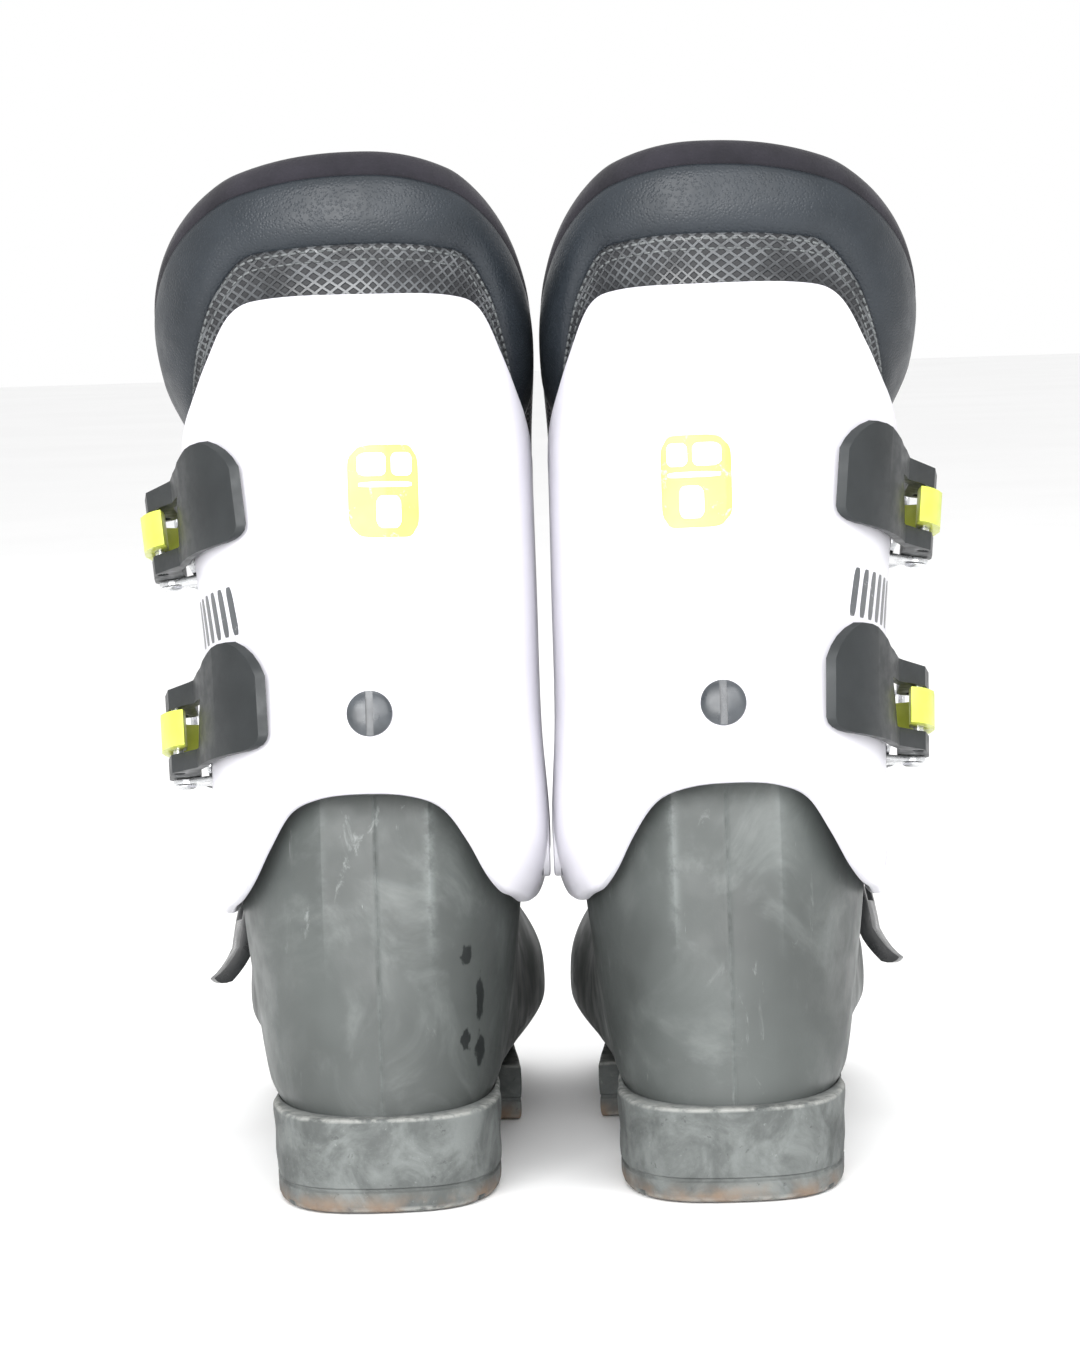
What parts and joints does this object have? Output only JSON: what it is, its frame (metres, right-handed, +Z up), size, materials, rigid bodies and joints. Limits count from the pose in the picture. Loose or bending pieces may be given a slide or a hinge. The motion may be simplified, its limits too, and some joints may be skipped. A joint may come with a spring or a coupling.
{
  "type": "pair of alpine ski boots",
  "caption": "Pair of alpine ski boots with grey lower shells, white cuffs that flex on ankle pivots, padded liners, two cuff buckles and one instep buckle each.",
  "frame": {"origin": "on the floor, midway between the two boots and midway between the back of the heel blocks and the tip of the toe lugs", "axes": "+X towards the wearer's right, +Y towards the toes, +Z up"},
  "size_m": [0.248, 0.285, 0.3127],
  "materials": {
    "cuff_white": "satin",
    "pivot_white": "satin",
    "shell_grey": "scuffed",
    "sole_grey": "worn",
    "board": "matte",
    "liner_fabric": "woven",
    "liner_leather": "grained",
    "strap": "webbing",
    "anodised": "anodised",
    "neon": "satin",
    "black_plastic": "satin",
    "screw": "satin",
    "steel": "polished"
  },
  "bodies": {
    "right_shell": {"right_lower_shell": "shell_grey", "right_heel_sole": "sole_grey", "right_toe_sole": "sole_grey", "right_boot_board": "board", "right_liner_foot": "liner_fabric", "right_instep_base": "steel", "right_instep_ladder": "black_plastic"},
    "right_upper_cuff": {"right_cuff": "cuff_white", "right_pivot_outer": "pivot_white", "right_pivot_inner": "pivot_white", "right_spine_screw": "screw", "right_liner_collar": "liner_leather", "right_tongue": "liner_fabric", "right_power_strap": "strap", "right_upper_base": "steel", "right_upper_pin": "steel", "right_upper_ladder": "anodised", "right_lower_base": "steel", "right_lower_pin": "steel", "right_lower_ladder": "anodised"},
    "right_upper_latch": {"right_upper_lever": "anodised", "right_upper_link_pin": "steel"},
    "right_upper_hook": {"right_upper_link": "neon", "right_upper_bail": "steel"},
    "right_lower_latch": {"right_lower_lever": "anodised", "right_lower_link_pin": "steel"},
    "right_lower_hook": {"right_lower_link": "neon", "right_lower_bail": "steel"},
    "right_instep_latch": {"right_instep_lever": "black_plastic"},
    "right_instep_hook": {"right_instep_bail": "steel"},
    "left_shell": {"left_lower_shell": "shell_grey", "left_heel_sole": "sole_grey", "left_toe_sole": "sole_grey", "left_boot_board": "board", "left_liner_foot": "liner_fabric", "left_instep_base": "steel", "left_instep_ladder": "black_plastic"},
    "left_upper_cuff": {"left_cuff": "cuff_white", "left_pivot_outer": "pivot_white", "left_pivot_inner": "pivot_white", "left_spine_screw": "screw", "left_liner_collar": "liner_leather", "left_tongue": "liner_fabric", "left_power_strap": "strap", "left_upper_base": "steel", "left_upper_pin": "steel", "left_upper_ladder": "anodised", "left_lower_base": "steel", "left_lower_pin": "steel", "left_lower_ladder": "anodised"},
    "left_upper_latch": {"left_upper_lever": "anodised", "left_upper_link_pin": "steel"},
    "left_upper_hook": {"left_upper_link": "neon", "left_upper_bail": "steel"},
    "left_lower_latch": {"left_lower_lever": "anodised", "left_lower_link_pin": "steel"},
    "left_lower_hook": {"left_lower_link": "neon", "left_lower_bail": "steel"},
    "left_instep_latch": {"left_instep_lever": "black_plastic"},
    "left_instep_hook": {"left_instep_bail": "steel"}
  },
  "joints": [
    {"name": "right_cuff_flex", "type": "hinge", "parent": "right_shell", "child": "right_upper_cuff", "pos_m": [0.052, -0.075, 0.102], "axis": [-1, 0, 0], "range_deg": [0, 8], "stiffness_Nm_per_rad": 120},
    {"name": "right_upper_lever_swing", "type": "hinge", "parent": "right_upper_cuff", "child": "right_upper_latch", "pos_m": [0.11693, -0.04474, 0.19468], "axis": [0.0996, 0.2126, 0.972], "range_deg": [0, 100]},
    {"name": "right_upper_hook_swing", "type": "hinge", "parent": "right_upper_latch", "child": "right_upper_hook", "pos_m": [0.11823, -0.0584, 0.19753], "axis": [0.0996, 0.2126, 0.972], "range_deg": [-120, 0]},
    {"name": "right_lower_lever_swing", "type": "hinge", "parent": "right_upper_cuff", "child": "right_lower_latch", "pos_m": [0.11235, -0.06499, 0.13477], "axis": [0.0352, 0.2241, 0.9739], "range_deg": [0, 100]},
    {"name": "right_lower_hook_swing", "type": "hinge", "parent": "right_lower_latch", "child": "right_lower_hook", "pos_m": [0.11303, -0.07864, 0.13789], "axis": [0.0352, 0.2241, 0.9739], "range_deg": [-120, 0]},
    {"name": "right_instep_lever_swing", "type": "hinge", "parent": "right_shell", "child": "right_instep_latch", "pos_m": [0.09428, 0.02123, 0.0813], "axis": [-0.1988, -0.9687, 0.1487], "range_deg": [0, 85]},
    {"name": "right_instep_hook_swing", "type": "hinge", "parent": "right_instep_latch", "child": "right_instep_hook", "pos_m": [0.09859, 0.01883, 0.07145], "axis": [-0.1988, -0.9687, 0.1487], "range_deg": [-93.5, 0]},
    {"name": "left_boot_apart", "type": "slide", "parent": "right_shell", "child": "left_shell", "axis": [-1, 0, 0], "range_m": [0, 0.15]},
    {"name": "left_cuff_flex", "type": "hinge", "parent": "left_shell", "child": "left_upper_cuff", "pos_m": [-0.052, -0.075, 0.102], "axis": [-1, 0, 0], "range_deg": [0, 8], "stiffness_Nm_per_rad": 120},
    {"name": "left_upper_lever_swing", "type": "hinge", "parent": "left_upper_cuff", "child": "left_upper_latch", "pos_m": [-0.11693, -0.04474, 0.19468], "axis": [0.0996, -0.2126, -0.972], "range_deg": [0, 100]},
    {"name": "left_upper_hook_swing", "type": "hinge", "parent": "left_upper_latch", "child": "left_upper_hook", "pos_m": [-0.11823, -0.0584, 0.19753], "axis": [0.0996, -0.2126, -0.972], "range_deg": [-120, 0]},
    {"name": "left_lower_lever_swing", "type": "hinge", "parent": "left_upper_cuff", "child": "left_lower_latch", "pos_m": [-0.11235, -0.06499, 0.13477], "axis": [0.0352, -0.2241, -0.9739], "range_deg": [0, 100]},
    {"name": "left_lower_hook_swing", "type": "hinge", "parent": "left_lower_latch", "child": "left_lower_hook", "pos_m": [-0.11303, -0.07864, 0.13789], "axis": [0.0352, -0.2241, -0.9739], "range_deg": [-120, 0]},
    {"name": "left_instep_lever_swing", "type": "hinge", "parent": "left_shell", "child": "left_instep_latch", "pos_m": [-0.09428, 0.02123, 0.0813], "axis": [-0.1988, 0.9687, -0.1487], "range_deg": [0, 85]},
    {"name": "left_instep_hook_swing", "type": "hinge", "parent": "left_instep_latch", "child": "left_instep_hook", "pos_m": [-0.09859, 0.01883, 0.07145], "axis": [-0.1988, 0.9687, -0.1487], "range_deg": [-93.5, 0]}
  ],
  "couplings": [
    {"joint": "right_upper_hook_swing", "follows": "right_upper_lever_swing", "ratio": -1.2},
    {"joint": "right_lower_hook_swing", "follows": "right_lower_lever_swing", "ratio": -1.2},
    {"joint": "right_instep_hook_swing", "follows": "right_instep_lever_swing", "ratio": -1.1},
    {"joint": "left_upper_hook_swing", "follows": "left_upper_lever_swing", "ratio": -1.2},
    {"joint": "left_lower_hook_swing", "follows": "left_lower_lever_swing", "ratio": -1.2},
    {"joint": "left_instep_hook_swing", "follows": "left_instep_lever_swing", "ratio": -1.1}
  ]
}
